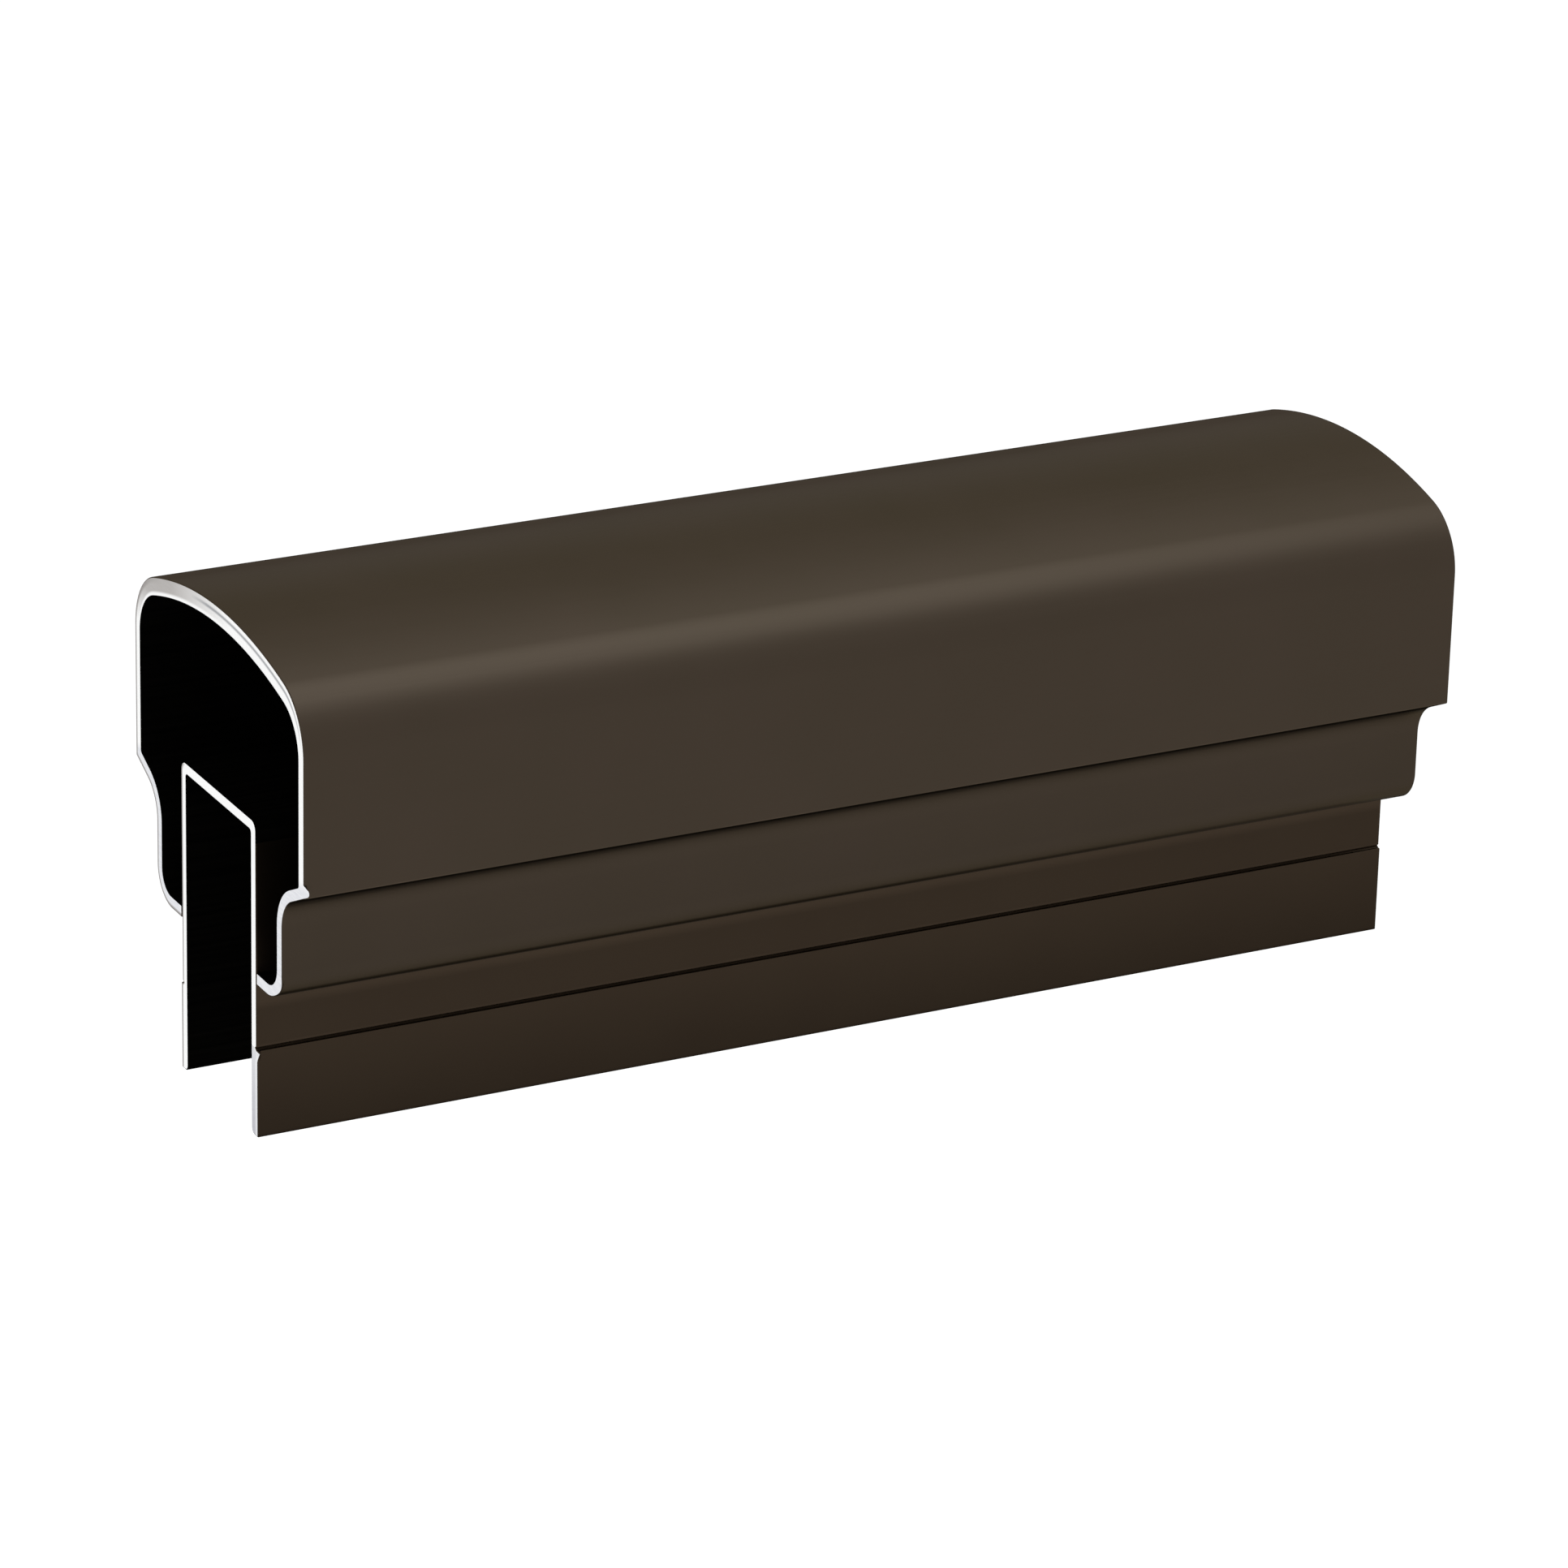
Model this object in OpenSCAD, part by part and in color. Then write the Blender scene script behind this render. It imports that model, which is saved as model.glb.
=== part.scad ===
// Door edge rail: a rounded aluminium cover that slides up and down on a
// U-shaped channel, which fits over the edge of a door or gate panel.
// Millimetres. +X runs along the rail, +Z points up to the crown of the cover.
// The origin is on the plane of the channel's feet, midway between the ends and the legs.

/* [Rail] */
// Length of both extrusions
rail_length = 158; // [60:1:1200]
// How far the underside of the cover's lips stands above the feet of the channel
cover_height = 20; // [14:0.5:36]

/* [Cover] */
// Overall width of the cover
cover_width = 50.8; // [48:0.2:60]
// Rise of the crown above the underside of the lips
cover_rise = 44.5; // [42:0.5:60]
// Wall thickness of the cover, except over the crown
cover_wall = 1.6; // [1.2:0.1:2.2]
// Wall thickness of the crown
crown_wall = 2.4; // [1.6:0.1:3]
// Radius of the shallow crown
crown_radius = 67; // [50:1:120]
// Radius of the two shoulders
shoulder_radius = 8.4; // [5:0.2:12]
// Rise of the side wall's foot above the underside of the lips
foot_rise = 16.5; // [14:0.5:20]
// Slope of the ledge that runs in from the side wall's foot, in degrees
ledge_slope = 26; // [10:1:30]
// Radius where the ledge turns down into the neck
cove_radius = 5; // [3:0.5:5]
// Width across the outside of the neck
neck_width = 38; // [34:0.2:38]
// Radius where the neck turns in to the lip
lip_radius = 4.5; // [3:0.5:5]

/* [Channel] */
// Clear width between the legs
slot_width = 19.6; // [16:0.2:20]
// Wall thickness of the channel
channel_wall = 1.5; // [1.2:0.1:1.8]
// Height of the channel, from the feet to the top of the web
channel_height = 40.9; // [38:0.1:46]
// Outside radius of the channel's two top corners
web_radius = 1.3; // [0.8:0.1:1.4]
// Height of the groove in each leg, with the stop for the lips right under it
groove_height = 11.6; // [6:0.1:12]
// How far the leg below the groove stands proud of the leg above it
stop_step = 0.35; // [0.2:0.05:0.5]

/* [Hidden] */
BRONZE = [0.25, 0.21, 0.17];
DARK_BRONZE = [0.20, 0.17, 0.13];

// The lips clear the legs by this much, so that the cover slides.
lip_gap = 0.12;
groove_depth = 0.25;
groove_width = 0.4;
foot_chamfer = 0.3;
inside_radius = 0.4;
// Inside the cover, the shoulders and the lips bend about centres of their own.
shoulder_inside_radius = 6.2;
lip_inside_radius = 2.7;
// Straight steps in each arc
crown_steps = 16;
bend_steps = 12;

half_cover = cover_width / 2;
half_neck = neck_width / 2;
lip_z = cover_height;
foot_z = cover_height + foot_rise;
cove_x = half_neck + cove_radius;
cove_centre = [cove_x, ledge_z(cove_x) - cove_radius / cos(ledge_slope)];
crown_centre = [0, cover_height + cover_rise - crown_radius];

leg_face = slot_width / 2 + channel_wall;
stop_face = leg_face + stop_step;
groove_low = groove_height - groove_width / 2;
groove_high = groove_height + groove_width / 2;
web_bottom = channel_height - channel_wall;

// Height of the ledge's underside at distance x from the middle of the rail
function ledge_z(x) = foot_z - (half_cover - x) * tan(ledge_slope);

function arc(centre, radius, from, to, steps) = [
    for (i = [0:steps])
        let (angle = from + (to - from) * i / steps)
            centre + radius * [cos(angle), sin(angle)]
];

function backwards(path) = [for (i = [len(path) - 1:-1:0]) path[i]];

function flipped(path) = [for (point = path) [-point[0], point[1]]];

// A symmetric section, from the right-hand half of its outer and inner paths,
// both of which run upwards and end at the middle or level with it
function section(outer, inner) = concat(
    outer,
    backwards(flipped(outer)),
    flipped(inner),
    backwards(inner)
);

// The right half of one face of the cover's wall: lip, neck, cove, ledge, foot,
// side wall, shoulder and crown. The face lies inset from the cover's outline,
// and crown_inset under the crown.
function cover_path(inset, crown_inset, lip, shoulder) =
    let (
        crown = crown_radius - crown_inset,
        lip_centre = [half_neck - inset - lip, lip_z + inset + lip],
        shoulder_x = half_cover - inset - shoulder,
        shoulder_rise = sqrt(pow(crown - shoulder, 2) - pow(shoulder_x, 2)),
        shoulder_centre = crown_centre + [shoulder_x, shoulder_rise],
        shoulder_angle = atan2(shoulder_rise, shoulder_x)
    )
    concat(
        [[leg_face + lip_gap, lip_z + inset]],
        arc(lip_centre, lip, -90, 0, bend_steps),
        arc(cove_centre, cove_radius + inset, 180, 90 + ledge_slope, bend_steps),
        [[half_cover - inset, ledge_z(half_cover - inset) + inset / cos(ledge_slope)]],
        arc(shoulder_centre, shoulder, 0, shoulder_angle, bend_steps),
        arc(crown_centre, crown, shoulder_angle, 90, crown_steps)
    );

// The outside of the right leg: chamfered foot, stop, V-groove and web corner
function leg_outside() = concat(
    [
        [stop_face - foot_chamfer, 0],
        [stop_face, foot_chamfer],
        [stop_face, groove_low],
        [leg_face, groove_low],
        [leg_face - groove_depth, groove_height],
        [leg_face, groove_high],
    ],
    arc([leg_face - web_radius, channel_height - web_radius], web_radius, 0, 90, bend_steps)
);

// The inside of the right leg, up to the corner under the web
function leg_inside() = concat(
    [[slot_width / 2, 0]],
    arc([slot_width / 2 - inside_radius, web_bottom - inside_radius], inside_radius, 0, 90, bend_steps)
);

// Stands a section, drawn with x across the rail and y upwards, along X.
module extrusion(outline) {
    translate([-rail_length / 2, 0, 0])
        rotate([90, 0, 90])
            linear_extrude(height = rail_length)
                polygon(outline);
}

module cover_shell() {
    outer = cover_path(0, 0, lip_radius, shoulder_radius);
    inner = cover_path(cover_wall, crown_wall, lip_inside_radius, shoulder_inside_radius);
    color(BRONZE)
        extrusion(section(outer, inner));
}

module panel_channel() {
    color(DARK_BRONZE)
        extrusion(section(leg_outside(), leg_inside()));
}

cover_shell();
panel_channel();
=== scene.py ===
"""A rail for the edge of a door or gate panel, in dark bronze anodised aluminium.

A hollow, round-topped cover rides up and down on a U-shaped channel. Both are
extrusions, so each is one wall section, drawn here as an outer and an inner
path, that a geometry tree draws out along X and cuts off square at both ends.
"""

import math

import bmesh
import bpy
from mathutils import Matrix, Vector


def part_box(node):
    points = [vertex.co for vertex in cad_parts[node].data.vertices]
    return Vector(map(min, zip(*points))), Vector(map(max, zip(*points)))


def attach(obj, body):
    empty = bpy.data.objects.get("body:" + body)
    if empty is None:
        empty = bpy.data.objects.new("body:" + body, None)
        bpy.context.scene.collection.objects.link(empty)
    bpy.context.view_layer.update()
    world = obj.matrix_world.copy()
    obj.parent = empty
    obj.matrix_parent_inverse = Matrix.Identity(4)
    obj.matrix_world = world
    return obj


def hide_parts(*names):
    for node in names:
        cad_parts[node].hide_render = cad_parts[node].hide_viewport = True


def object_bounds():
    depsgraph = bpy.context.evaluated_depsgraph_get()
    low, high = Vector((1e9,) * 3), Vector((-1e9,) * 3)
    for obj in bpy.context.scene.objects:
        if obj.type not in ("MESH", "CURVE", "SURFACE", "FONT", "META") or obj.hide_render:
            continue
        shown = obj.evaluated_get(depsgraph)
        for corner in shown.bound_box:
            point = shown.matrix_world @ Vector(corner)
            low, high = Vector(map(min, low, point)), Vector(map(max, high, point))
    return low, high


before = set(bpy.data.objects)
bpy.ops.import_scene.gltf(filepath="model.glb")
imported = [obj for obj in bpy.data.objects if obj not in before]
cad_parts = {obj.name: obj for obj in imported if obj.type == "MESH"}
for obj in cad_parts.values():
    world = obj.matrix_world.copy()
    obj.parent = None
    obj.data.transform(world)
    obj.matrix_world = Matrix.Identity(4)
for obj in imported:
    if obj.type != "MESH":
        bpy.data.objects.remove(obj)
cad_low, cad_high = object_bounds()

MM = 0.001

# Sizes that the parts in model.glb give
cover_low, cover_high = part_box("cover_shell")
channel_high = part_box("panel_channel")[1]
LENGTH = cover_high.x - cover_low.x
HALF_COVER = cover_high.y
CROWN_TOP = cover_high.z
LIP_Z = cover_low.z
STOP_FACE = channel_high.y
WEB_TOP = channel_high.z

# The rest of the cover's section
COVER_WALL = 1.6 * MM
CROWN_WALL = 2.4 * MM
CROWN_RADIUS = 67 * MM
SHOULDER_RADIUS = 8.4 * MM
SHOULDER_INSIDE_RADIUS = 6.2 * MM
FOOT_Z = LIP_Z + 16.35 * MM
FOOT_RADIUS = 0.25 * MM
LEVEL_Z = FOOT_Z + 2.4 * MM
LEDGE_SLOPE = math.radians(26)
COVE_RADIUS = 5 * MM
HALF_NECK = 19 * MM
LIP_RADIUS = 4.5 * MM
LIP_INSIDE_RADIUS = 2.7 * MM
LIP_GAP = 0.12 * MM
TIP_RADIUS = 0.2 * MM

# The rest of the channel's section
CHANNEL_WALL = 1.5 * MM
STOP_STEP = 0.35 * MM
STOP_RADIUS = 0.16 * MM
LEG_FACE = STOP_FACE - STOP_STEP
HALF_SLOT = LEG_FACE - CHANNEL_WALL
WEB_RADIUS = 1.3 * MM
WEB_INSIDE_RADIUS = 0.4 * MM
GROOVE_Z = 11.6 * MM
GROOVE_DEPTH = 0.25 * MM
GROOVE_WIDTH = 0.4 * MM
FOOT_OUTSIDE_RADIUS = 0.15 * MM
FOOT_INSIDE_RADIUS = 0.8 * MM

# Straight steps in each arc of the sections
TIP_STEPS = 4
LIP_STEPS = 24
COVE_STEPS = 20
CORNER_STEPS = 6
SHOULDER_STEPS = 40
CROWN_STEPS = 24
FOOT_STEPS = 8
STOP_STEPS = 4
WEB_STEPS = 12

# Neighbouring points of a section lie no further apart than this
POINT_SPACING = 0.35 * MM

# Points closer than this in a path count as one
SAME_PLACE = 0.0001 * MM

# The cut ends; every arc of a section is wider than their rounding, so that no corner folds over
EDGE_ROUND = 0.14 * MM
ROUND_STEPS = 4
BURR_REACH = 0.4 * MM
BURR_STEPS = 6

# The rail's parts are joined where their points are closer than WELD, and shaded with an edge where two
# faces meet at more than CREASE_ANGLE
WELD = 0.001 * MM
CREASE_ANGLE = math.radians(25)

# Outside corners sharper than this are worn bright
WORN_RADIUS = 0.6 * MM

# The rise of a face's direction into the metal from which it counts as an underside, partly and fully; the
# materials paint undersides with shade
UNDER_FROM = 0.62
UNDER_FULL = 0.82


# ---- Paths in the plane of the section, as points (y, z) ----


def arc(centre, radius, start, end, steps):
    """Points on a circle between two angles in degrees."""
    angles = [math.radians(start + (end - start) * i / steps) for i in range(steps + 1)]
    return [Vector((centre[0] + radius * math.cos(a), centre[1] + radius * math.sin(a))) for a in angles]


def evenly(start, end, count):
    """Points on a straight line, both ends included."""
    return [Vector(start).lerp(Vector(end), i / (count - 1)) for i in range(count)]


def ledge_z(y):
    """Height of the ledge's underside at a distance from the middle of the rail."""
    return FOOT_Z - (HALF_COVER - y) * math.tan(LEDGE_SLOPE)


def cover_half(tip, inset, crown_inset, lip_radius, shoulder_radius):
    """The right half of one face of the cover's wall, from the lip's tip up to the crown.

    Above LEVEL_Z the points of the two faces lie level with each other.
    """
    slope = math.degrees(LEDGE_SLOPE)
    corner_radius = max(FOOT_RADIUS, inset / 4)
    corner_y = HALF_COVER - inset - corner_radius
    corner_z = ledge_z(corner_y) + (inset + corner_radius) / math.cos(LEDGE_SLOPE)
    cove_y = HALF_NECK + COVE_RADIUS
    cove_z = ledge_z(cove_y) - COVE_RADIUS / math.cos(LEDGE_SLOPE)
    lip_centre = (HALF_NECK - inset - lip_radius, LIP_Z + inset + lip_radius)
    crown_radius = CROWN_RADIUS - crown_inset
    crown_z = CROWN_TOP - CROWN_RADIUS
    shoulder_y = HALF_COVER - inset - shoulder_radius
    shoulder_rise = math.sqrt((crown_radius - shoulder_radius) ** 2 - shoulder_y ** 2)
    shoulder_centre = (shoulder_y, crown_z + shoulder_rise)
    shoulder_angle = math.degrees(math.atan2(shoulder_rise, shoulder_y))
    return (
        tip
        + arc(lip_centre, lip_radius, -90, 0, LIP_STEPS)
        + arc((cove_y, cove_z), COVE_RADIUS + inset, 180, 90 + slope, COVE_STEPS)
        + arc((corner_y, corner_z), corner_radius, slope - 90, 0, CORNER_STEPS)
        + [Vector((HALF_COVER - inset, LEVEL_Z))]
        + arc(shoulder_centre, shoulder_radius, 0, shoulder_angle, SHOULDER_STEPS)
        + arc((0, crown_z), crown_radius, shoulder_angle, 90, CROWN_STEPS)
    )


def cover_rows():
    """The outer and the inner half path of the cover."""
    tip_y = LEG_FACE + LIP_GAP + TIP_RADIUS
    under_tip = arc((tip_y, LIP_Z + TIP_RADIUS), TIP_RADIUS, 180, 270, TIP_STEPS)
    over_tip = arc((tip_y, LIP_Z + COVER_WALL - TIP_RADIUS), TIP_RADIUS, 180, 90, TIP_STEPS)
    outside = cover_half(under_tip, 0, 0, LIP_RADIUS, SHOULDER_RADIUS)
    inside = cover_half(over_tip, COVER_WALL, CROWN_WALL, LIP_INSIDE_RADIUS, SHOULDER_INSIDE_RADIUS)
    return outside, inside


def channel_rows():
    """The outer and the inner half path of the channel, from the foot up to the web."""
    groove_low = GROOVE_Z - GROOVE_WIDTH / 2
    groove_high = GROOVE_Z + GROOVE_WIDTH / 2
    foot_y = STOP_FACE - FOOT_OUTSIDE_RADIUS
    outside = arc((foot_y, FOOT_OUTSIDE_RADIUS), FOOT_OUTSIDE_RADIUS, -90, 0, FOOT_STEPS)
    outside += arc((STOP_FACE - STOP_RADIUS, groove_low - STOP_RADIUS), STOP_RADIUS, 0, 90, STOP_STEPS)
    outside.append(Vector((LEG_FACE, groove_low)))
    outside.append(Vector((LEG_FACE - GROOVE_DEPTH, GROOVE_Z)))
    outside.append(Vector((LEG_FACE, groove_high)))
    outside += arc((LEG_FACE - WEB_RADIUS, WEB_TOP - WEB_RADIUS), WEB_RADIUS, 0, 90, WEB_STEPS)
    outside.append(Vector((0, WEB_TOP)))
    # Beside the stop the inner points lie lower than the outer ones, so that no face between them folds over.
    beside_stop = groove_low - 0.8 * MM
    beside_groove = groove_low - 0.2 * MM
    web_bottom = WEB_TOP - CHANNEL_WALL
    corner = (HALF_SLOT - WEB_INSIDE_RADIUS, web_bottom - WEB_INSIDE_RADIUS)
    foot_centre = (HALF_SLOT + FOOT_INSIDE_RADIUS, FOOT_INSIDE_RADIUS)
    inside = arc(foot_centre, FOOT_INSIDE_RADIUS, 270, 180, FOOT_STEPS)
    inside += evenly((HALF_SLOT, beside_stop), (HALF_SLOT, beside_groove), STOP_STEPS + 2)
    inside += evenly((HALF_SLOT, GROOVE_Z), (HALF_SLOT, groove_high), 2)
    inside += arc(corner, WEB_INSIDE_RADIUS, 0, 90, WEB_STEPS)
    inside.append(Vector((0, web_bottom)))
    return outside, inside


def whole_section(outer, inner):
    """Both rows with their mirrored halves, finely spaced, point by point across the wall."""
    pairs = [(outer[0], inner[0])]
    for a, b in zip(outer[1:], inner[1:]):
        last_a, last_b = pairs[-1]
        longest = max((a - last_a).length, (b - last_b).length)
        if longest < SAME_PLACE:
            continue
        parts = math.ceil(longest / POINT_SPACING)
        for i in range(1, parts + 1):
            pairs.append((last_a.lerp(a, i / parts), last_b.lerp(b, i / parts)))
    pairs += [(Vector((-a.x, a.y)), Vector((-b.x, b.y))) for a, b in reversed(pairs[:-1])]
    return [a for a, b in pairs], [b for a, b in pairs]


# ---- The section as a flat mesh, with what its points know about themselves ----


def mitre(before, point, after):
    """How a corner of the outline moves when its two sides move into the metal by 1."""
    a = (point - before).normalized()
    b = (after - point).normalized()
    into_a = Vector((-a.y, a.x))
    into_b = Vector((-b.y, b.x))
    return (into_a + into_b) / (1 + into_a.dot(into_b))


def turning(before, point, after):
    """How sharply the outline turns outwards at a point, in radians for each metre."""
    a = point - before
    b = after - point
    return -a.angle_signed(b) / ((a.length + b.length) / 2)


def section_object(name, outer, inner, burr_at, hidden_above):
    """A flat strip in the plane x = 0 that the geometry tree draws out into the rail."""
    count = len(outer)
    flat = outer + inner
    mesh = bpy.data.meshes.new(name)
    faces = [(i, i + 1, count + i + 1, count + i) for i in range(count - 1)]
    mesh.from_pydata([(0, p.x, p.y) for p in flat], [], faces)
    ring = list(range(count)) + list(range(2 * count - 1, count - 1, -1))
    inward = [Vector((0, 0, 0))] * len(flat)
    worn = [0.0] * len(flat)
    under = [0.0] * len(flat)
    for place, index in enumerate(ring):
        before = flat[ring[place - 1]]
        after = flat[ring[(place + 1) % len(ring)]]
        moved = mitre(before, flat[index], after)
        inward[index] = Vector((0, moved.x, moved.y))
        worn[index] = float(turning(before, flat[index], after) > 1 / WORN_RADIUS)
        # How far the face turns downwards; the materials paint this as shade
        slope = moved.normalized().y
        under[index] = min(1, max(0, (slope - UNDER_FROM) / (UNDER_FULL - UNDER_FROM)))
    burr = [Vector((0, *burr_at(point))) for point in outer] + [Vector((0, 0, 0))] * count
    hidden = [float(point.y > hidden_above) for point in outer] + [1.0] * count
    put_attribute(mesh, "inward", "FLOAT_VECTOR", inward)
    put_attribute(mesh, "burr", "FLOAT_VECTOR", burr)
    put_attribute(mesh, "across", "FLOAT", [1.0] * count + [-1.0] * count)
    put_attribute(mesh, "hidden", "FLOAT", hidden)
    put_attribute(mesh, "worn", "FLOAT", worn)
    put_attribute(mesh, "under", "FLOAT", under)
    made = bpy.data.objects.new(name, mesh)
    bpy.context.scene.collection.objects.link(made)
    return made


def put_attribute(mesh, name, kind, values):
    layer = mesh.attributes.new(name, kind, "POINT")
    for item, value in zip(layer.data, values):
        if kind == "FLOAT":
            item.value = value
        else:
            item.vector = value


def cover_burr(point):
    """The saw left the foot of the front wall curled outwards, and the front lip's bend thicker."""
    bend_height = 4.2 * MM
    bend_swell = 0.45 * MM
    bend_share = (point.y - LIP_Z) / bend_height
    if point.x < -HALF_NECK + LIP_RADIUS and 0 < bend_share < 1:
        return (-bend_swell * math.sin(math.pi * bend_share) ** 2, 0)
    curl_depth = 0.3 * MM
    curl_height = 1.7 * MM
    curl_reach = 1.7 * MM
    curl_lift = 0.45
    share = (point.y - ledge_z(-point.x)) / curl_height
    if point.x > -HALF_COVER + curl_depth or not -0.01 < share < 1:
        return (0, 0)
    out = curl_reach * math.sqrt(1 - (2 * max(share, 0) - 1) ** 4)
    return (-out, curl_lift * out * (1 - share))


def channel_burr(point):
    """A tapering burr under the groove of the front leg."""
    depth = STOP_RADIUS + 0.01 * MM
    taper = 1.4 * MM
    reach = 0.85 * MM
    stop_top = GROOVE_Z - GROOVE_WIDTH / 2
    share = (stop_top - point.y) / taper
    if point.x > -STOP_FACE + depth or not 0 <= share < 1:
        return (0, 0)
    return (-reach * (1 - share), 0)


# ---- Node building ----


def add_node(tree, kind, inputs=None, **settings):
    """Adds a node; inputs takes values or sockets by name or number."""
    made = tree.nodes.new(kind)
    for name, value in settings.items():
        setattr(made, name, value)
    for key, value in (inputs or {}).items():
        if isinstance(value, bpy.types.NodeSocket):
            tree.links.new(value, made.inputs[key])
        else:
            made.inputs[key].default_value = value
    return made


def maths(tree, operation, *values, clamp=False):
    kind = "ShaderNodeMath"
    return add_node(tree, kind, dict(enumerate(values)), operation=operation, use_clamp=clamp).outputs[0]


def times(tree, first, *others):
    """The product of two or more values."""
    for other in others:
        first = maths(tree, "MULTIPLY", first, other)
    return first


def scaled(tree, vector, factor):
    """A vector or a colour multiplied by a value."""
    made = add_node(tree, "ShaderNodeVectorMath", {0: vector, "Scale": factor}, operation="SCALE")
    return made.outputs[0]


def named(tree, name, kind="FLOAT"):
    """A named attribute inside a geometry tree."""
    found = add_node(tree, "GeometryNodeInputNamedAttribute", {"Name": name}, data_type=kind)
    return found.outputs["Attribute"]


def new_group(name, kind, inputs, outputs):
    """An empty group with its sockets, and its input and output nodes."""
    tree = bpy.data.node_groups.new(name, kind)
    for title, socket, default in inputs:
        made = tree.interface.new_socket(title, in_out="INPUT", socket_type=socket)
        if default is not None:
            made.default_value = default
    for title, socket in outputs:
        tree.interface.new_socket(title, in_out="OUTPUT", socket_type=socket)
    return tree, tree.nodes.new("NodeGroupInput").outputs, tree.nodes.new("NodeGroupOutput").inputs


# ---- The geometry tree: a section drawn out into a rail ----


def stations(tree, given):
    """A line of cutting planes along X, close together at both ends, as a curve."""
    steps = maths(tree, "ADD", given["Round Steps"], given["Burr Steps"])
    last = maths(tree, "ADD", times(tree, steps, 2), 1)
    line = add_node(tree, "GeometryNodeMeshLine", {"Count": maths(tree, "ADD", last, 1)})
    index = tree.nodes.new("GeometryNodeInputIndex").outputs[0]
    from_end = maths(tree, "MINIMUM", index, maths(tree, "SUBTRACT", last, index))
    turn = maths(tree, "DIVIDE", maths(tree, "MINIMUM", from_end, given["Round Steps"]), given["Round Steps"])
    quarter = maths(tree, "COSINE", times(tree, turn, math.pi / 2))
    rounded = times(tree, maths(tree, "SUBTRACT", 1, quarter), given["Edge Round"])
    beyond = maths(tree, "MAXIMUM", maths(tree, "SUBTRACT", from_end, given["Round Steps"]), 0)
    further = times(tree, maths(tree, "DIVIDE", beyond, given["Burr Steps"]), given["Burr Reach"])
    depth = maths(tree, "ADD", rounded, further)
    side = maths(tree, "SIGN", maths(tree, "SUBTRACT", index, maths(tree, "DIVIDE", last, 2)))
    half = maths(tree, "DIVIDE", given["Length"], 2)
    x = times(tree, side, maths(tree, "SUBTRACT", half, depth))
    place = add_node(tree, "ShaderNodeCombineXYZ", {"X": x}).outputs[0]
    placed = add_node(tree, "GeometryNodeSetPosition", {"Geometry": line.outputs[0], "Position": place})
    curve = add_node(tree, "GeometryNodeMeshToCurve", {"Mesh": placed.outputs[0]})
    turned = add_node(tree, "GeometryNodeSetCurveNormal", {"Curve": curve.outputs[0]}, mode="FREE")
    turned.inputs["Normal"].default_value = (0, 1, 0)
    return turned.outputs[0]


def wall_of(tree, given):
    """The section's outline drawn along the stations, with the section itself closing both ends."""
    edges = add_node(tree, "GeometryNodeInputMeshEdgeNeighbors").outputs[0]
    border = maths(tree, "LESS_THAN", edges, 1.5)
    outline = add_node(tree, "GeometryNodeMeshToCurve", {"Mesh": given["Section"], "Selection": border})
    position = tree.nodes.new("GeometryNodeInputPosition").outputs[0]
    upright = add_node(tree, "ShaderNodeSeparateXYZ", {0: position}).outputs
    lying = add_node(tree, "ShaderNodeCombineXYZ", {"X": upright["Y"], "Y": upright["Z"]}).outputs[0]
    profile = add_node(
        tree, "GeometryNodeSetPosition", {"Geometry": outline.outputs[0], "Position": lying}
    )
    drawn = add_node(
        tree,
        "GeometryNodeCurveToMesh",
        {"Curve": stations(tree, given), "Profile Curve": profile.outputs[0]},
    )
    half = maths(tree, "DIVIDE", given["Length"], 2)
    near = add_node(tree, "ShaderNodeCombineXYZ", {"X": times(tree, half, -1)}).outputs[0]
    far = add_node(tree, "ShaderNodeCombineXYZ", {"X": half}).outputs[0]
    near_end = add_node(tree, "GeometryNodeTransform", {"Geometry": given["Section"], "Translation": near})
    far_end = add_node(tree, "GeometryNodeTransform", {"Geometry": given["Section"], "Translation": far})
    flipped = add_node(tree, "GeometryNodeFlipFaces", {"Mesh": near_end.outputs[0]})
    joined = tree.nodes.new("GeometryNodeJoinGeometry")
    for part in (far_end, flipped, drawn):
        tree.links.new(part.outputs[0], joined.inputs[0])
    welded = add_node(
        tree, "GeometryNodeMergeByDistance", {"Geometry": joined.outputs[0], "Distance": WELD}
    )
    return welded.outputs[0]


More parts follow.
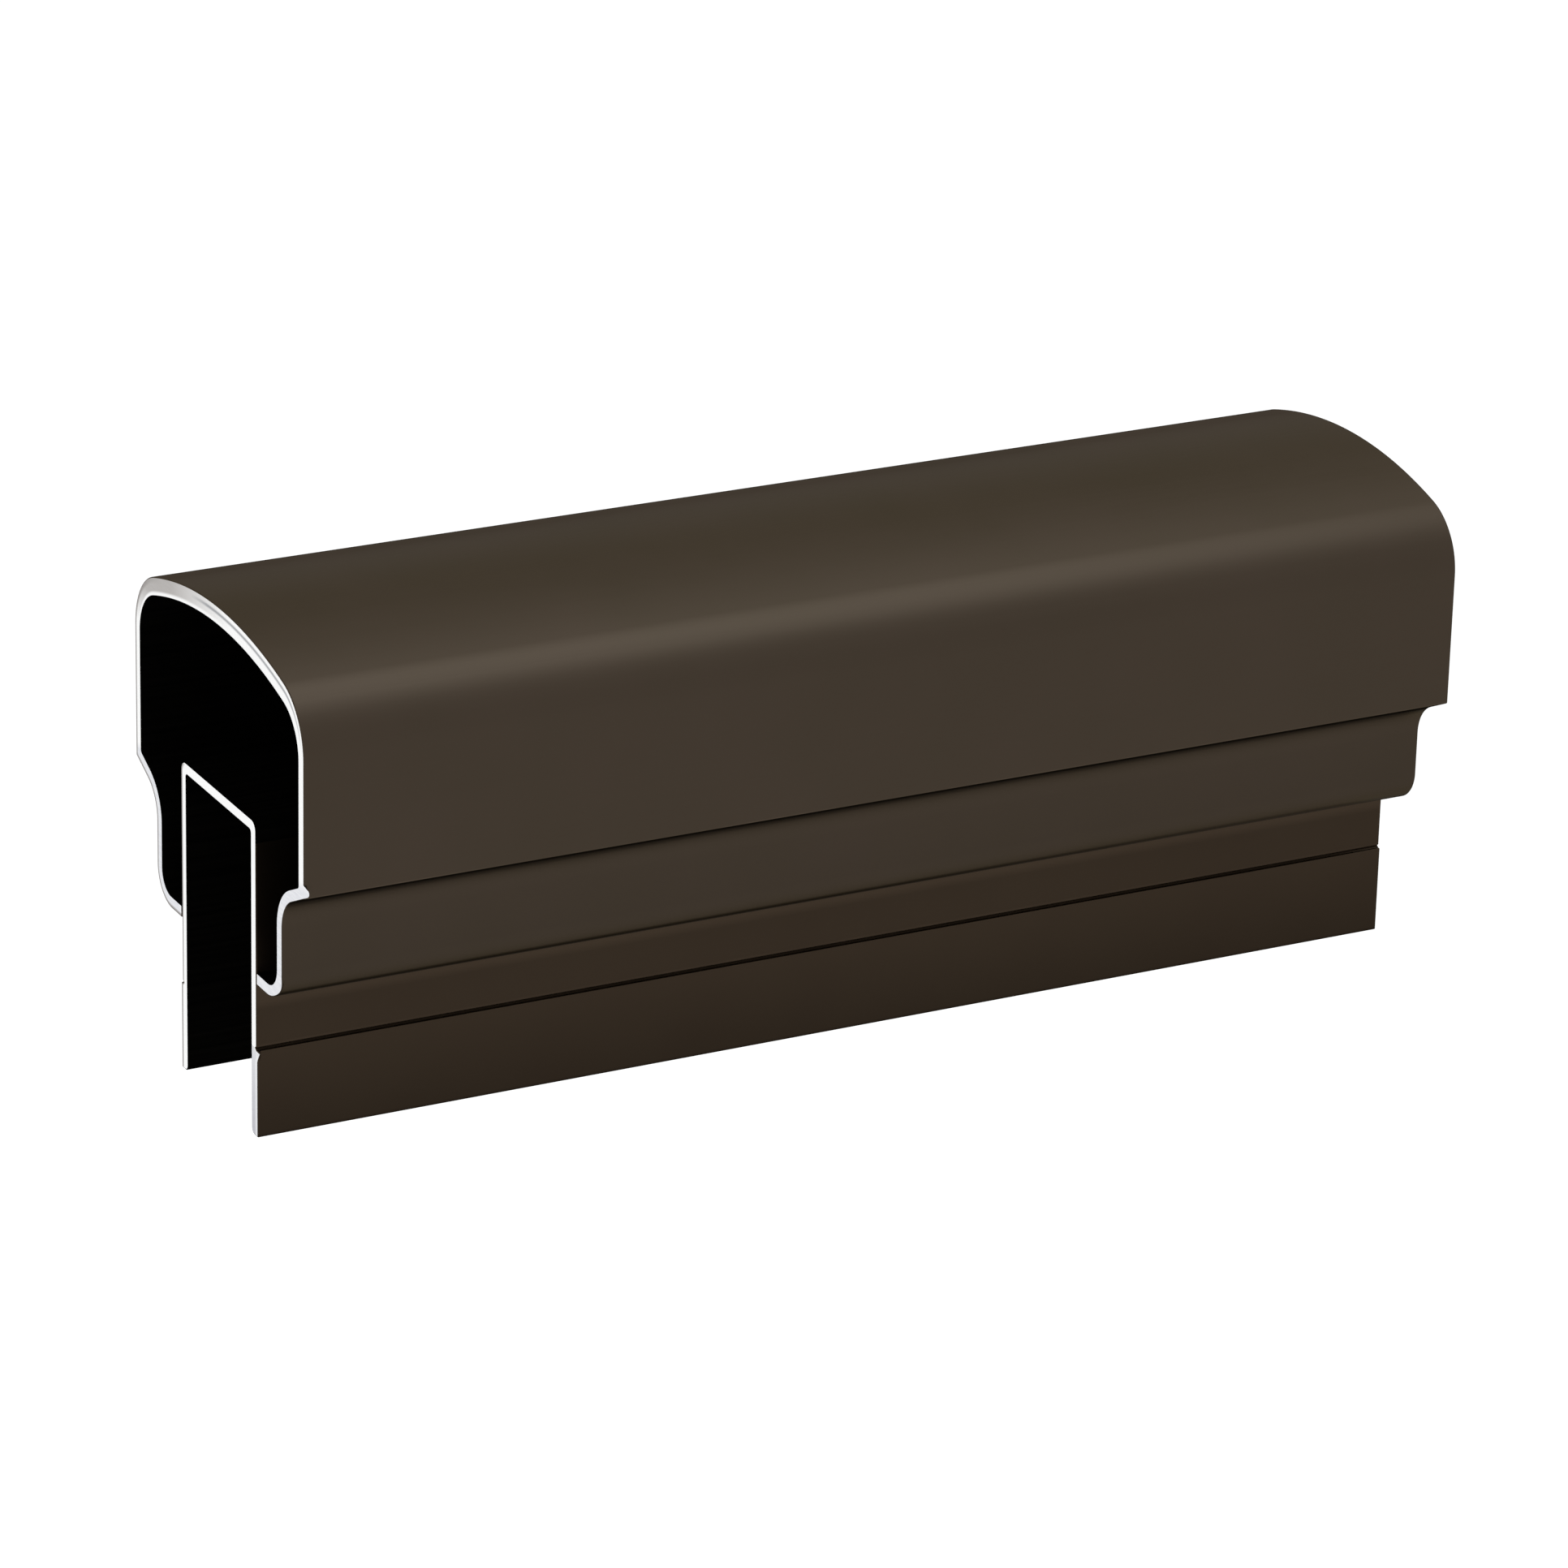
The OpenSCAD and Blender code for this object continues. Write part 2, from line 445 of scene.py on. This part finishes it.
def extrusion_tree():
    """Section in, finished rail out: rounded cut edges, the near end's burr, and its materials."""
    numbers = [(name, "NodeSocketFloat", 0.0) for name in ("Length", "Edge Round", "Burr Reach")]
    counts = [(name, "NodeSocketInt", 1) for name in ("Round Steps", "Burr Steps")]
    finishes = [(name, "NodeSocketMaterial", None) for name in ("Skin", "Inside", "Cut")]
    tree, given, result = new_group(
        "extrusion",
        "GeometryNodeTree",
        [("Section", "NodeSocketGeometry", None), *numbers, *counts, *finishes],
        [("Rail", "NodeSocketGeometry")],
    )
    wall = wall_of(tree, given)
    position = tree.nodes.new("GeometryNodeInputPosition").outputs[0]
    x = add_node(tree, "ShaderNodeSeparateXYZ", {0: position}).outputs["X"]
    half = maths(tree, "DIVIDE", given["Length"], 2)
    near = maths(tree, "ADD", x, half)
    to_end = maths(tree, "MINIMUM", near, maths(tree, "SUBTRACT", half, x))
    radius = given["Edge Round"]
    short = maths(tree, "MAXIMUM", maths(tree, "SUBTRACT", radius, to_end), 0)
    left = maths(tree, "SUBTRACT", times(tree, radius, radius), times(tree, short, short))
    inset = maths(tree, "SUBTRACT", radius, maths(tree, "SQRT", maths(tree, "MAXIMUM", left, 0)))
    fading = maths(tree, "SUBTRACT", 1, maths(tree, "DIVIDE", near, given["Burr Reach"]), clamp=True)
    rounding = scaled(tree, named(tree, "inward", "FLOAT_VECTOR"), inset)
    curling = scaled(tree, named(tree, "burr", "FLOAT_VECTOR"), fading)
    both = add_node(tree, "ShaderNodeVectorMath", {0: rounding, 1: curling})
    shaped = add_node(tree, "GeometryNodeSetPosition", {"Geometry": wall, "Offset": both.outputs[0]})

    end_face = maths(tree, "LESS_THAN", to_end, WELD)
    # Faces out of sight take the near-black painted shade of the hollow
    inside = maths(tree, "GREATER_THAN", named(tree, "hidden"), 0.5)
    angle = add_node(tree, "GeometryNodeInputMeshEdgeAngle").outputs[0]
    sharp = maths(tree, "GREATER_THAN", angle, CREASE_ANGLE)
    smooth = add_node(
        tree,
        "GeometryNodeSetShadeSmooth",
        {"Geometry": shaped.outputs[0], "Shade Smooth": maths(tree, "SUBTRACT", 1, end_face)},
        domain="FACE",
    )
    creased = add_node(
        tree,
        "GeometryNodeSetShadeSmooth",
        {"Geometry": smooth.outputs[0], "Selection": sharp, "Shade Smooth": False},
        domain="EDGE",
    )
    finished = add_node(tree, "GeometryNodeRealizeInstances", {"Geometry": creased.outputs[0]}).outputs[0]
    for finish, where in (("Skin", True), ("Inside", inside), ("Cut", end_face)):
        finished = add_node(
            tree,
            "GeometryNodeSetMaterial",
            {"Geometry": finished, "Selection": where, "Material": given[finish]},
        ).outputs[0]
    tree.links.new(finished, result["Rail"])
    return tree


def draw_out(section, tree, name, skin, inside, cut):
    """Runs the tree on a section and returns the rail as a plain mesh piece."""
    modifier = section.modifiers.new("draw out", "NODES")
    modifier.node_group = tree
    values = {
        "Length": LENGTH,
        "Edge Round": EDGE_ROUND,
        "Round Steps": ROUND_STEPS,
        "Burr Reach": BURR_REACH,
        "Burr Steps": BURR_STEPS,
        "Skin": skin,
        "Inside": inside,
        "Cut": cut,
    }
    for socket in tree.interface.items_tree:
        if socket.name in values:
            modifier[socket.identifier] = values[socket.name]
    drawn = section.evaluated_get(bpy.context.evaluated_depsgraph_get())
    mesh = bpy.data.meshes.new_from_object(drawn)
    section.modifiers.clear()
    bpy.data.objects.remove(section)
    mesh.name = name
    closed = bmesh.new()
    closed.from_mesh(mesh)
    bmesh.ops.recalc_face_normals(closed, faces=closed.faces)
    closed.to_mesh(mesh)
    closed.free()
    piece = bpy.data.objects.new(name, mesh)
    bpy.context.scene.collection.objects.link(piece)
    return piece


# ---- Materials ----


def noise(tree, vector, scale, detail, roughness=0.5):
    inputs = {"Vector": vector, "Scale": scale, "Detail": detail, "Roughness": roughness}
    return add_node(tree, "ShaderNodeTexNoise", inputs).outputs[0]


def drawn_metal_group():
    """The marks of an extruded, etched and anodised surface, as three masks round 0.5."""
    tree, given, result = new_group(
        "drawn_metal",
        "ShaderNodeTree",
        [("Vector", "NodeSocketVector", None), ("Line Spacing", "NodeSocketFloat", 0.4 * MM)],
        [("Lines", "NodeSocketFloat"), ("Cloud", "NodeSocketFloat"), ("Grain", "NodeSocketFloat")],
    )
    along = 9.0
    across = maths(tree, "DIVIDE", 1, given["Line Spacing"])
    stretch = add_node(tree, "ShaderNodeCombineXYZ", {"X": along, "Y": across, "Z": across}).outputs[0]
    drawn = add_node(tree, "ShaderNodeVectorMath", {0: given["Vector"], 1: stretch}, operation="MULTIPLY")
    marks = {
        "Lines": noise(tree, drawn.outputs[0], 1.0, 3.0, roughness=0.6),
        "Cloud": noise(tree, given["Vector"], 70.0, 2.0),
        "Grain": noise(tree, given["Vector"], 7000.0, 1.0),
    }
    for title, mask in marks.items():
        tree.links.new(mask, result[title])
    return tree


def new_material(name, **sockets):
    """A Principled material with its plain sockets set; returns it, its tree and its shader."""
    made = bpy.data.materials.new(name)
    made.use_nodes = True
    tree = made.node_tree
    shader = tree.nodes["Principled BSDF"]
    for title, value in sockets.items():
        shader.inputs[title.replace("_", " ")].default_value = value
    return made, tree, shader


def mixed(tree, share, low, high):
    """A colour between two, by a mask; each is a plain colour or comes from another node."""
    low, high = [c if isinstance(c, bpy.types.NodeSocket) else (*c, 1) for c in (low, high)]
    made = add_node(tree, "ShaderNodeMix", {0: share, 6: low, 7: high}, data_type="RGBA")
    return made.outputs[2]


def ranged(tree, value, low, high, from_low=0.3, from_high=0.7):
    """A mask mapped on to a range of values, held at its ends."""
    inputs = {"Value": value, "From Min": from_low, "From Max": from_high, "To Min": low, "To Max": high}
    return add_node(tree, "ShaderNodeMapRange", inputs).outputs[0]


def away_from(tree, value, middle):
    """How far a value is from another, either way."""
    return maths(tree, "ABSOLUTE", maths(tree, "SUBTRACT", value, middle))


def attribute(tree, name):
    """A named attribute inside a material."""
    return add_node(tree, "ShaderNodeAttribute", attribute_name=name).outputs["Fac"]


def add_bump(tree, shader, height, strength, distance):
    bump = add_node(tree, "ShaderNodeBump", {"Height": height, "Strength": strength, "Distance": distance})
    tree.links.new(bump.outputs[0], shader.inputs["Normal"])


def leg_light_and_shade(tree, z):
    """How the shade changes up a leg: dark at the foot's edge, painted light in a band under the lips, and
    painted shade above them, where the cover hides the leg.
    """
    foot_edge = ranged(tree, z, 0.6, 1, 0.1 * MM, 0.5 * MM)
    # Painted light: a lighter band on the leg just under the lips
    painted_light_under_lips = ranged(tree, z, 1, 1.34, LIP_Z - 3.4 * MM, LIP_Z - 2.4 * MM)
    # Painted shade: darker above the lips, where the cover hides the leg
    painted_shade_above_lips = ranged(tree, z, 1, 0.4, LIP_Z, LIP_Z + 8 * MM)
    return times(tree, foot_edge, painted_light_under_lips, painted_shade_above_lips)


def lip_shadow_line(tree, x, z):
    """How the shade changes at the painted shadow line in the lip's bend, which fades towards the far end."""
    line = ranged(tree, away_from(tree, z, LIP_Z + 1.1 * MM), 1, 0, 0.1 * MM, 0.6 * MM)
    depth = ranged(tree, x, 0.72, 0.25, 0, LENGTH / 2)
    return maths(tree, "SUBTRACT", 1, times(tree, line, depth))


def bronze(name, metal_group, dark, light, foot_shade, foot_low, foot_high, is_leg=False):
    """Dark bronze anodising over drawn aluminium: it pales along its sharp edges, and has painted shade lower
    down, underneath and where it is seen at a slant.
    """
    made, tree, shader = new_material(name, Specular_Tint=(0.50, 0.49, 0.455, 1), Specular_IOR_Level=0.0)
    place = tree.nodes.new("ShaderNodeTexCoord").outputs["Object"]
    apart = add_node(tree, "ShaderNodeSeparateXYZ", {0: place}).outputs
    x, z = apart["X"], apart["Z"]
    marks = add_node(tree, "ShaderNodeGroup", {"Vector": place}, node_tree=metal_group)
    lines, cloud, grain = (marks.outputs[title] for title in ("Lines", "Cloud", "Grain"))
    colour = mixed(tree, ranged(tree, cloud, 0, 1), dark, light)
    wear = times(tree, attribute(tree, "worn"), ranged(tree, cloud, 0.05, 0.35))
    # Painted shade: darker towards the lips on the cover and towards the feet on the channel
    foot = ranged(tree, z, foot_shade, 1, foot_low, foot_high)
    shade = maths(tree, "ADD", times(tree, ranged(tree, lines, 0.985, 1.015), foot), wear)
    under = attribute(tree, "under")
    if is_leg:
        shade = times(tree, shade, leg_light_and_shade(tree, z))
    else:
        shade = times(tree, shade, lip_shadow_line(tree, x, z))
        # On the cover, the painted shade of undersides is kept to the ledge under the wall's foot
        under = times(tree, under, ranged(tree, z, 0, 1, LIP_Z + LIP_RADIUS, FOOT_Z - COVE_RADIUS))
    facing = add_node(tree, "ShaderNodeLayerWeight", {"Blend": 0.5}).outputs["Facing"]
    # Painted shade: undersides darken to 0.15, which draws the dark lines under the wall's foot and in the
    # groove
    underside = ranged(tree, under, 1, 0.15, 0, 1)
    # Painted shade: the base colour darkens where the surface is seen at a slant, and more near the outline;
    # Metallic falls off the same way
    slanting = ranged(tree, facing, 1, 0.75, 0.64, 0.86)
    grazing = ranged(tree, facing, 1, 0.5, 0.9, 0.99)
    shade = times(tree, shade, underside, slanting, grazing)
    tree.links.new(ranged(tree, facing, 1, 0, 0.64, 0.86), shader.inputs["Metallic"])
    tree.links.new(scaled(tree, colour, shade), shader.inputs["Base Color"])
    rough = maths(tree, "ADD", ranged(tree, lines, 0.46, 0.49), ranged(tree, cloud, -0.01, 0.01))
    tree.links.new(rough, shader.inputs["Roughness"])
    height = maths(tree, "ADD", times(tree, lines, 0.6), times(tree, grain, 0.4))
    add_bump(tree, shader, height, 0.25, 0.01 * MM)
    return made


def hollow_painted_shade(metal_group):
    """The inner faces, painted all but black: painted shade for the unlit hollow, with faint uneven lines."""
    made, tree, shader = new_material("hollow_painted_shade", Specular_IOR_Level=0.0)
    dark = (0.0006, 0.0006, 0.0005)
    light = (0.0020, 0.0018, 0.0015)
    place = tree.nodes.new("ShaderNodeTexCoord").outputs["Object"]
    inputs = {"Vector": place, "Line Spacing": 0.7 * MM}
    marks = add_node(tree, "ShaderNodeGroup", inputs, node_tree=metal_group).outputs
    tree.links.new(mixed(tree, ranged(tree, marks["Lines"], 0, 1), dark, light), shader.inputs["Base Color"])
    tree.links.new(ranged(tree, marks["Cloud"], 0.5, 0.6), shader.inputs["Roughness"])
    add_bump(tree, shader, marks["Lines"], 0.3, 0.02 * MM)
    return made


def sawn_aluminium():
    """Bare metal at the cut ends: fine saw marks, painted shade in the crown and low on the front leg, bright
    along its edges.
    """
    made, tree, shader = new_material("sawn_aluminium", Metallic=1.0)
    place = tree.nodes.new("ShaderNodeTexCoord").outputs["Object"]
    apart = add_node(tree, "ShaderNodeSeparateXYZ", {0: place}).outputs
    y, z = apart["Y"], apart["Z"]
    across = attribute(tree, "across")
    stretch = add_node(tree, "ShaderNodeVectorMath", {0: place, 1: (60, 500, 5200)}, operation="MULTIPLY")
    marks = noise(tree, stretch.outputs[0], 1.0, 3.0, roughness=0.6)

    crown = ranged(tree, z, 0, 1, CROWN_TOP - 10 * MM, CROWN_TOP - 5 * MM)
    off_inner_rim = ranged(tree, across, 0, 1, -0.75, -0.45)
    # Painted shade: the crown's cut face turns darker grey towards its back
    painted_crown_shade = times(tree, crown, ranged(tree, y, 0, 1, -4 * MM, 14 * MM), off_inner_rim)
    streak = ranged(tree, away_from(tree, across, 0.3), 0.8, 0, 0.05, 0.3)
    streak = times(tree, crown, streak, ranged(tree, y, 1, 0, 3 * MM, 8 * MM))
    beside_neck = ranged(tree, away_from(tree, y, 0), 0, 1, STOP_FACE, STOP_FACE + 0.1 * MM)
    lower = times(tree, beside_neck, ranged(tree, z, 1, 0, FOOT_Z + 1 * MM, FOOT_Z + 2 * MM))
    # Painted shade: the front leg's cut face below the groove turns grey towards the foot and its inner side
    foot = times(
        tree,
        ranged(tree, z, 1, 0.55, 1 * MM, GROOVE_Z),
        maths(tree, "LESS_THAN", z, GROOVE_Z),
        ranged(tree, across, 1, 0.15, 0, 1),
        maths(tree, "LESS_THAN", y, 0),
    )
    back_rim = times(
        tree,
        ranged(tree, y, 0, 1, 10 * MM, 11 * MM),
        ranged(tree, across, 0, 1, 0.35, 0.75),
        ranged(tree, z, 1, 0, CROWN_TOP - 5 * MM, CROWN_TOP - 2.5 * MM),
    )

    colour = mixed(tree, marks, (0.84, 0.84, 0.83), (0.93, 0.93, 0.93))
    colour = mixed(tree, times(tree, lower, marks), colour, (0.55, 0.56, 0.62))
    colour = mixed(tree, painted_crown_shade, colour, (0.42, 0.40, 0.385))
    colour = mixed(tree, streak, colour, (0.20, 0.21, 0.23))
    colour = mixed(tree, foot, colour, (0.46, 0.46, 0.50))
    colour = mixed(tree, back_rim, colour, (0.27, 0.25, 0.24))
    tree.links.new(colour, shader.inputs["Base Color"])
    tree.links.new(ranged(tree, marks, 0.34, 0.44), shader.inputs["Roughness"])
    add_bump(tree, shader, marks, 0.2, 0.01 * MM)
    return made


# ---- The stage ----


def place_camera():
    """The camera stands in front, above and to the left of the rail, with a long lens."""
    azimuth, elevation, roll = (math.radians(a) for a in (27.87, 21.71, 1.44))
    distance = 0.9168
    nudge_right = -2.10 * MM
    nudge_up = -3.11 * MM
    back = Vector(
        (
            -math.sin(azimuth) * math.cos(elevation),
            -math.cos(azimuth) * math.cos(elevation),
            math.sin(elevation),
        )
    )
    level_right = (-back).cross(Vector((0, 0, 1))).normalized()
    level_up = level_right.cross(-back)
    right = math.cos(roll) * level_right + math.sin(roll) * level_up
    up = math.cos(roll) * level_up - math.sin(roll) * level_right
    aim = (cad_low + cad_high) / 2 + right * nudge_right + up * nudge_up
    data = bpy.data.cameras.new("camera")
    data.lens = 168.43
    data.sensor_width = 36
    data.clip_start = 0.05
    camera = bpy.data.objects.new("camera", data)
    bpy.context.scene.collection.objects.link(camera)
    axes = Matrix((right, up, back)).transposed()
    camera.matrix_world = Matrix.Translation(aim + back * distance) @ axes.to_4x4()
    bpy.context.scene.camera = camera


def lay_floor():
    """A wide white floor, far enough below the rail to take no visible shadow."""
    drop = 0.30
    half_width = 6.0
    mesh = bpy.data.meshes.new("floor")
    corners = [(-1, -1), (1, -1), (1, 1), (-1, 1)]
    mesh.from_pydata([(x * half_width, y * half_width, -drop) for x, y in corners], [], [(0, 1, 2, 3)])
    floor = bpy.data.objects.new("floor", mesh)
    bpy.context.scene.collection.objects.link(floor)
    white = new_material(
        "floor_white",
        Base_Color=(0.93, 0.93, 0.93, 1),
        Roughness=0.9,
        Specular_IOR_Level=0.0,
        Emission_Color=(1, 1, 1, 1),
        Emission_Strength=0.12,
    )[0]
    mesh.materials.append(white)


def light_stage():
    """Even white light from all round, and one wide soft light overhead."""
    world = bpy.data.worlds.new("studio")
    world.use_nodes = True
    world.node_tree.nodes["Background"].inputs["Color"].default_value = (1, 1, 1, 1)
    world.node_tree.nodes["Background"].inputs["Strength"].default_value = 1.0
    bpy.context.scene.world = world
    data = bpy.data.lights.new("overhead", "AREA")
    data.shape = "RECTANGLE"
    data.size = 0.5
    data.size_y = 0.4
    data.energy = 1.42
    data.color = (0.82, 0.92, 1.0)
    light = bpy.data.objects.new("overhead", data)
    bpy.context.scene.collection.objects.link(light)
    lit_point = Vector((-0.1, 0, CROWN_TOP))
    towards = Vector((0.434, -0.01, 0.9))
    distance = 0.55
    light.location = lit_point + towards * distance
    light.rotation_mode = "QUATERNION"
    light.rotation_quaternion = towards.to_track_quat("Z", "Y")
    bpy.context.scene.view_settings.view_transform = "Standard"


# ---- The two pieces ----

place_camera()
lay_floor()
light_stage()

metal_marks = drawn_metal_group()
cover_bronze = bronze(
    "cover_bronze",
    metal_marks,
    dark=(0.0510, 0.0389, 0.0278),
    light=(0.0539, 0.0406, 0.0296),
    foot_shade=0.84,
    foot_low=LIP_Z,
    foot_high=FOOT_Z,
)
channel_bronze = bronze(
    "channel_bronze",
    metal_marks,
    dark=(0.0345, 0.0242, 0.0163),
    light=(0.0369, 0.0262, 0.0175),
    foot_shade=0.70,
    foot_low=0,
    foot_high=GROOVE_Z,
    is_leg=True,
)
dark_hollow = hollow_painted_shade(metal_marks)
cut_ends = sawn_aluminium()
rail_tree = extrusion_tree()

cover_section = section_object("cover_section", *whole_section(*cover_rows()), cover_burr, CROWN_TOP)
cover = draw_out(cover_section, rail_tree, "cover", cover_bronze, dark_hollow, cut_ends)
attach(cover, "cover")
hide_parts("cover_shell")

channel_section = section_object(
    "channel_section", *whole_section(*channel_rows()), channel_burr, WEB_TOP - 3 * MM
)
channel = draw_out(channel_section, rail_tree, "channel", channel_bronze, dark_hollow, cut_ends)
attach(channel, "channel")
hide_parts("panel_channel")
